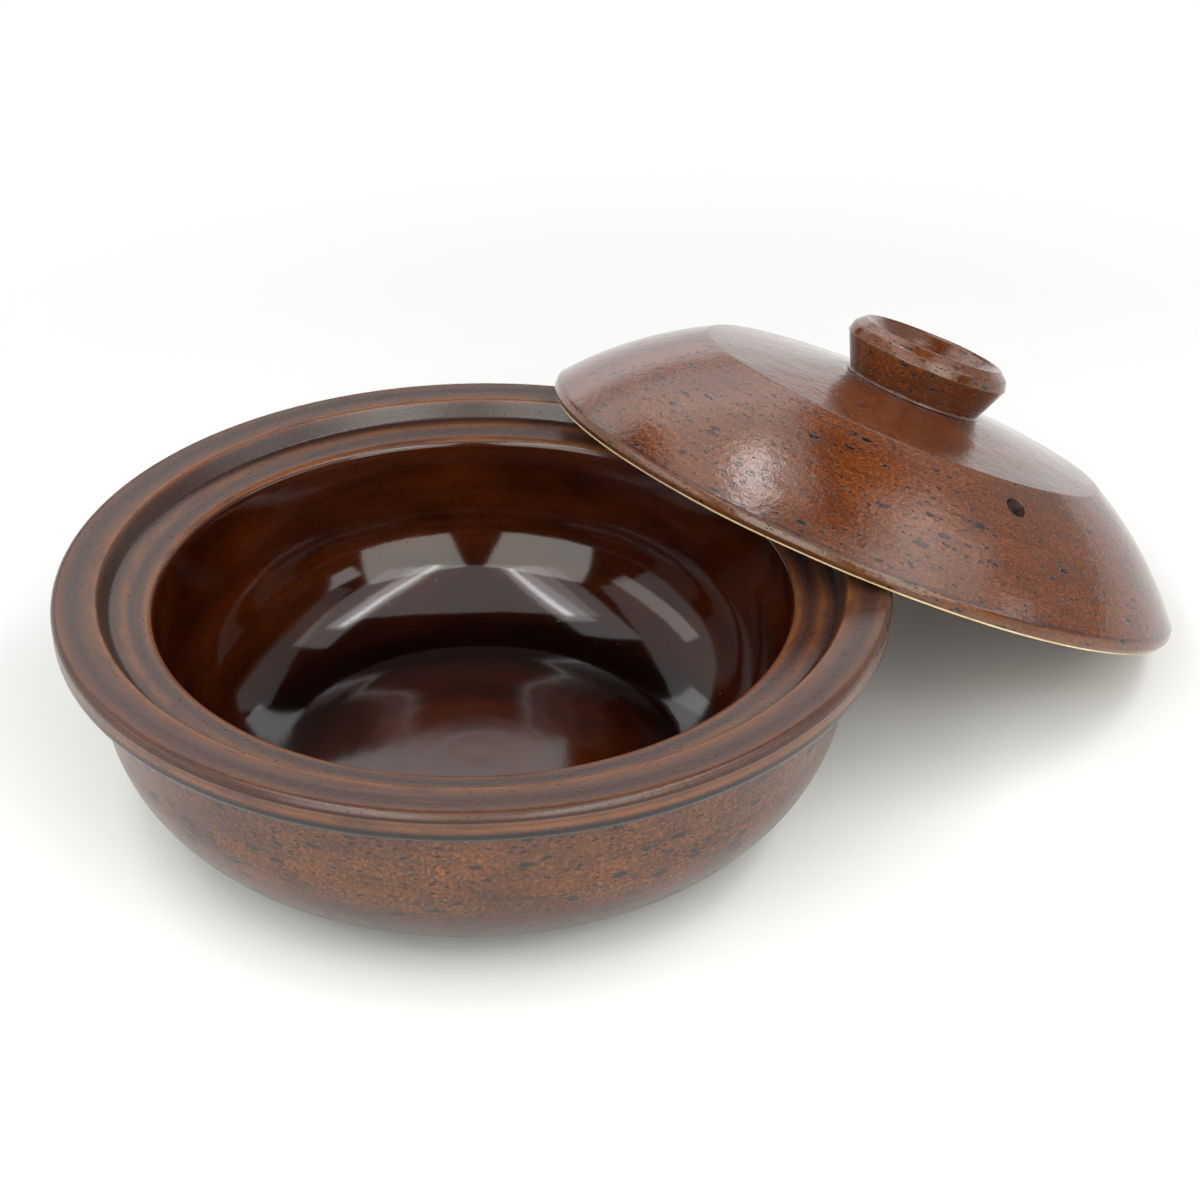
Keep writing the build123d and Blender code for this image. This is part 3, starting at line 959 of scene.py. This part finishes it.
class DONABE_OT_set_stage(bpy.types.Operator):
    """Lays the white ground, hangs the soft panels and sets the camera"""

    bl_idname = "donabe.set_stage"
    bl_label = "Set stage"

    def execute(self, context):
        studio = context.scene.donabe_studio
        for name in (LID_LIGHT, POT_LIGHT):
            bpy.data.collections.new(name)
        self.ground()
        self.lights(studio)
        camera = bpy.data.objects.new("camera", bpy.data.cameras.new("camera"))
        camera.data.lens = studio.focal_length
        camera.data.sensor_width = SENSOR_WIDTH
        camera.data.clip_start = CLIP_START
        camera.location = studio.camera_place
        camera.rotation_mode = "QUATERNION"
        camera.rotation_quaternion = Vector(studio.camera_aim).to_track_quat("-Z", "Y")
        context.scene.collection.objects.link(camera)
        context.scene.camera = camera
        context.scene.view_settings.view_transform = "Standard"
        return {"FINISHED"}

    def ground(self):
        """A wide white disc."""
        points = []
        faces = []
        for radius, height in GROUND_RINGS:
            for side in range(GROUND_SIDES):
                angle = 2 * math.pi * side / GROUND_SIDES
                points.append((radius * math.cos(angle), radius * math.sin(angle), height))
        for ring in range(len(GROUND_RINGS) - 1):
            here = ring * GROUND_SIDES
            there = here + GROUND_SIDES
            for side in range(GROUND_SIDES):
                after = (side + 1) % GROUND_SIDES
                faces.append((here + side, there + side, there + after, here + after))
        mesh = bpy.data.meshes.new("ground")
        mesh.from_pydata(points, [], faces)
        mesh.materials.append(white_paper("paper_white_matt"))
        ground = bpy.data.objects.new("ground", mesh)
        bpy.context.scene.collection.objects.link(ground)
        bpy.data.collections[POT_LIGHT].objects.link(ground)

    def lights(self, studio):
        """Soft panels, placed by where they stand in a frame that faces as the camera does."""
        heading = Vector((studio.camera_aim[0], studio.camera_aim[1], 0)).normalized()
        right = Vector((heading.y, -heading.x, 0))
        middle = Vector(PANEL_MIDDLE)
        strips = studio.strips
        # Place across, along and up, width and depth, all in metres, and brightness
        overhead = {
            "ceiling": ((0.0, -0.60, 1.0), (1.25, 1.10), studio.ceiling),
            "strip_left": ((-0.365, -0.52, 0.99), (0.05, 1.00), strips * 0.9),
            "strip_right": ((0.46, -0.56, 0.99), (0.055, 1.25), strips * 0.8),
            "strip_left_soft": ((-0.39, -0.50, 0.985), (0.20, 1.10), strips * 0.2),
            "strip_right_soft": ((0.49, -0.55, 0.985), (0.21, 1.30), strips * 0.24),
            "glow_left": ((-0.58, -0.42, 0.98), (0.40, 1.38), strips * 0.12),
            "glow_right": ((0.68, -0.40, 0.98), (0.42, 1.48), strips * 0.13),
            "lid_light": ((0.02, 0.30, 1.0), (0.09, 0.38), strips * 0.9),
            "lid_light_wide": ((-0.05, 0.62, 0.99), (0.62, 1.10), strips * 0.16),
            "lid_light_right": ((1.0, -0.10, 0.99), (0.72, 1.10), strips * 0.13),
        }
        standing = {
            "low_left": ((-1.50, -0.15, 0.88), (1.30, 0.30), strips * 0.18),
            "low_right": ((1.55, -0.50, 0.88), (1.30, 0.30), strips * 0.27),
            "lid_light_low": ((-0.30, 1.75, 0.42), (1.10, 0.42), strips * 0.13),
            "front_left": ((-0.70, -1.35, 0.80), (1.10, 1.05), studio.windows),
            "front_right": ((0.70, -1.35, 0.80), (1.10, 1.05), studio.windows),
            "side_left": ((-1.3, 0.35, 0.75), (2.2, 1.2), studio.sides * 0.85),
            "side_right": ((1.3, 0.35, 0.75), (2.2, 1.2), studio.sides * 0.6),
            "back": ((-0.15, 1.6, 1.05), (2.4, 0.65), studio.back),
        }
        for name, ((across, along, up), size, brightness) in (overhead | standing).items():
            lamp = self.panel(name, size, brightness)
            lamp.location = middle + right * across + heading * along + Vector((0, 0, up))
            aim = middle - lamp.location
            across_axis = aim.cross(Vector((0, 0, 1)))
            if name in overhead:
                aim = Vector((0, 0, -1))
                across_axis = right
            across_axis = across_axis.normalized()
            if name.startswith("strip"):
                turn = math.radians(LEFT_STRIP_TURN if across < 0 else RIGHT_STRIP_TURN)
                across_axis = Matrix.Rotation(turn, 3, "Z") @ across_axis
            back = -aim.normalized()
            turned = Matrix((across_axis, back.cross(across_axis), back)).transposed().to_4x4()
            lamp.matrix_world = Matrix.Translation(lamp.location) @ turned
        world = bpy.data.worlds.new("dark_room")
        world.use_nodes = True
        world.node_tree.nodes["Background"].inputs["Color"].default_value = linear(ROOM)
        bpy.context.scene.world = world

    def panel(self, name, size, brightness):
        """A soft rectangle of that width and depth. Strips light the pot, and lid lights light the lid."""
        data = bpy.data.lights.new(name, "AREA")
        data.shape = "RECTANGLE"
        data.size, data.size_y = size
        data.energy = math.pi * size[0] * size[1] * brightness
        data.color = PANEL_TINTS.get(name, (1, 1, 1))
        lamp = bpy.data.objects.new(name, data)
        lamp.visible_camera = False
        bpy.context.scene.collection.objects.link(lamp)
        for start, lit in ((LID_LIGHT, LID_LIGHT), ("strip", POT_LIGHT)):
            if name.startswith(start):
                lamp.light_linking.receiver_collection = bpy.data.collections[lit]
        return lamp


class DONABE_PT_panel(bpy.types.Panel):
    """Buttons and settings in the 3D view's sidebar"""

    bl_label = "Donabe"
    bl_idname = "DONABE_PT_panel"
    bl_space_type = "VIEW_3D"
    bl_region_type = "UI"
    bl_category = "Donabe"

    def draw(self, context):
        for operator in OPERATORS:
            self.layout.operator(operator.bl_idname)
        for key in GROUPS:
            box = self.layout.box()
            group = getattr(context.scene, key)
            for name in group.__annotations__:
                box.prop(group, name)


GROUPS = {
    "donabe_pot": DonabePotSizes,
    "donabe_lid": DonabeLidSizes,
    "donabe_knob": DonabeKnobSizes,
    "donabe_glaze": DonabeGlaze,
    "donabe_studio": DonabeStudio,
}
OPERATORS = (DONABE_OT_set_stage, DONABE_OT_throw_pot, DONABE_OT_throw_lid, DONABE_OT_lute_knob)


def register():
    for group in GROUPS.values():
        bpy.utils.register_class(group)
    for key, group in GROUPS.items():
        setattr(bpy.types.Scene, key, bpy.props.PointerProperty(type=group))
    for operator in OPERATORS:
        bpy.utils.register_class(operator)
    bpy.utils.register_class(DONABE_PT_panel)


def unregister():
    bpy.utils.unregister_class(DONABE_PT_panel)
    for operator in OPERATORS:
        bpy.utils.unregister_class(operator)
    for key, group in GROUPS.items():
        delattr(bpy.types.Scene, key)
        bpy.utils.unregister_class(group)


def main():
    register()
    bpy.ops.donabe.set_stage()
    bpy.ops.donabe.throw_pot()
    bpy.ops.donabe.throw_lid()
    bpy.ops.donabe.lute_knob()


if __name__ == "__main__":
    main()
